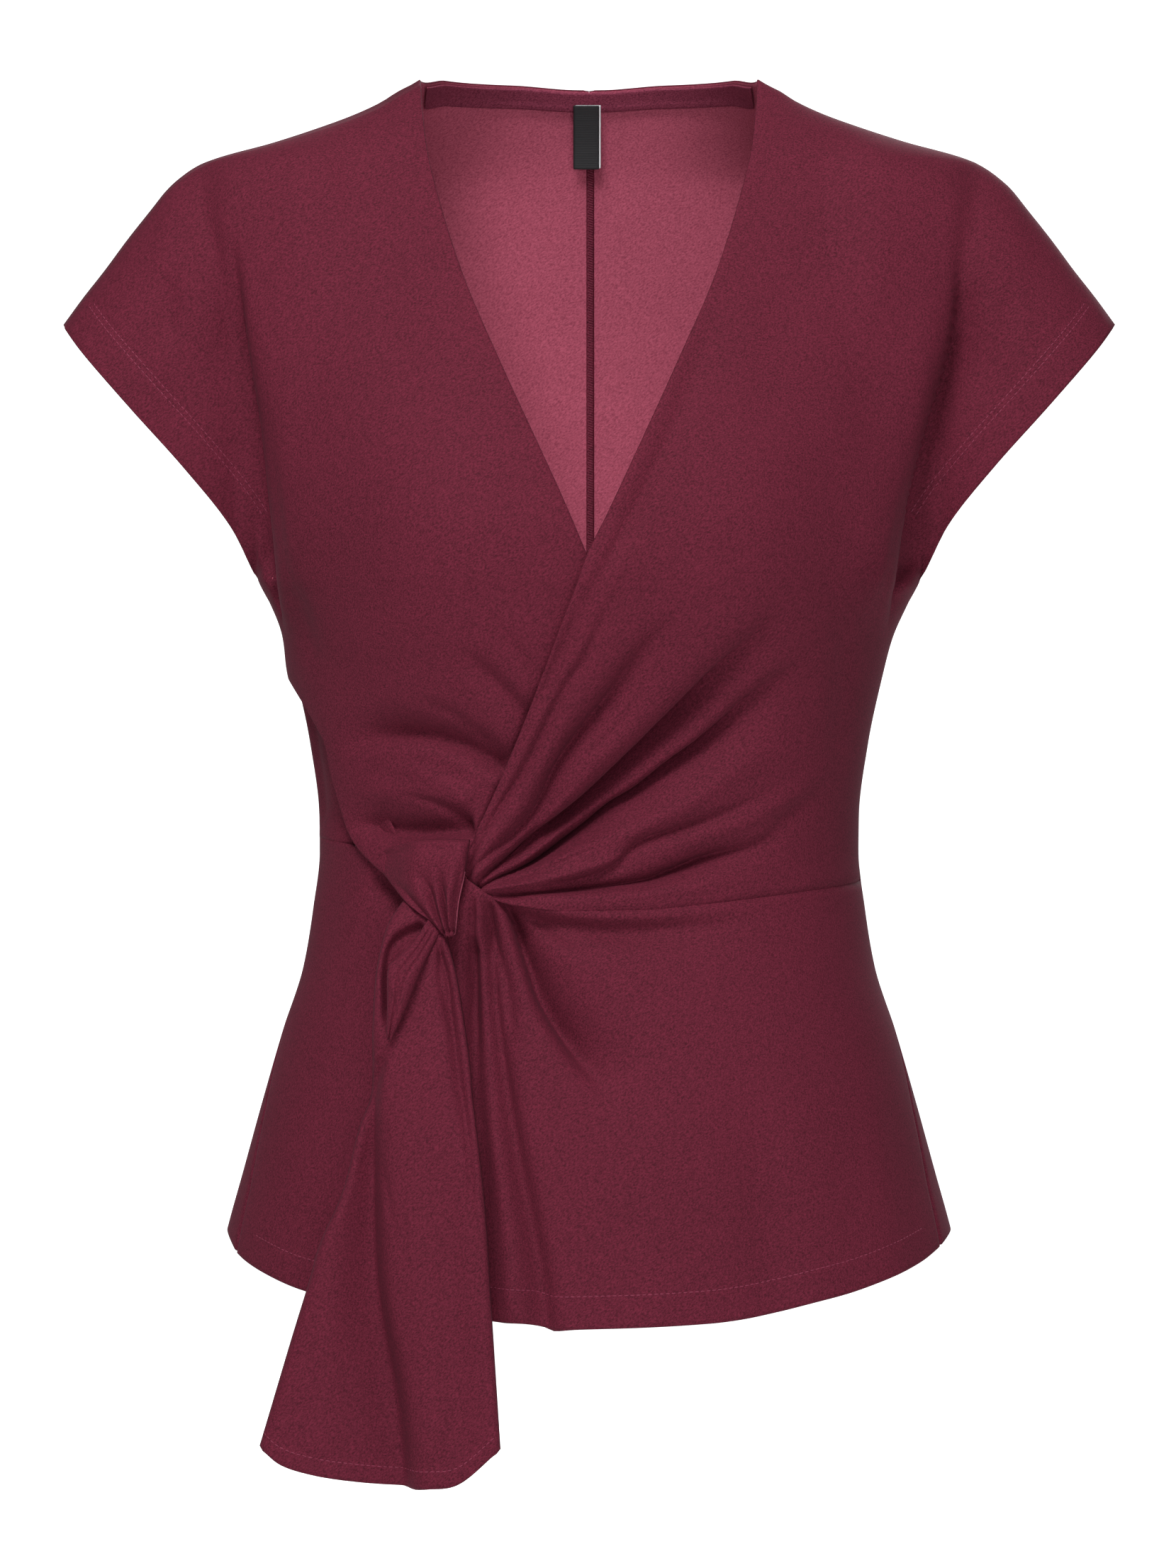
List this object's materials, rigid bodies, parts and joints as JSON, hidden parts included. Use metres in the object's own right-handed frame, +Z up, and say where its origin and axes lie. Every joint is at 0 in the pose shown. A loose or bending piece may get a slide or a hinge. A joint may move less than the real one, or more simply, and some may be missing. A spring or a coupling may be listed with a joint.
{
  "type": "blouse",
  "caption": "Short-sleeved wrap-look blouse, filled out as worn: V neck, cut-on cap sleeves, front gathered into a side knot with a hanging tie end, and a flared peplum with a curved hem",
  "frame": {"origin": "midway between the two high shoulder points, where the garment rests on the wearer's shoulders, in the plane of the side seams", "axes": "+X is the wearer's left, -Y is the front, +Z is up along the body"},
  "size_m": [0.534, 0.2611, 0.6995],
  "materials": {
    "crepe": "matt wine-red stretch crepe, fine pebbled diagonal grain",
    "label_tape": "black woven tape, blank"
  },
  "bodies": {
    "root": {"front_left": "crepe", "front_right": "crepe", "front_right_under": "crepe", "back_left": "crepe", "back_right": "crepe", "peplum_front": "crepe", "peplum_back": "crepe", "knot_band": "crepe", "tie_end": "crepe", "tie_twist": "crepe", "neck_band": "crepe", "label": "label_tape"}
  },
  "joints": []
}
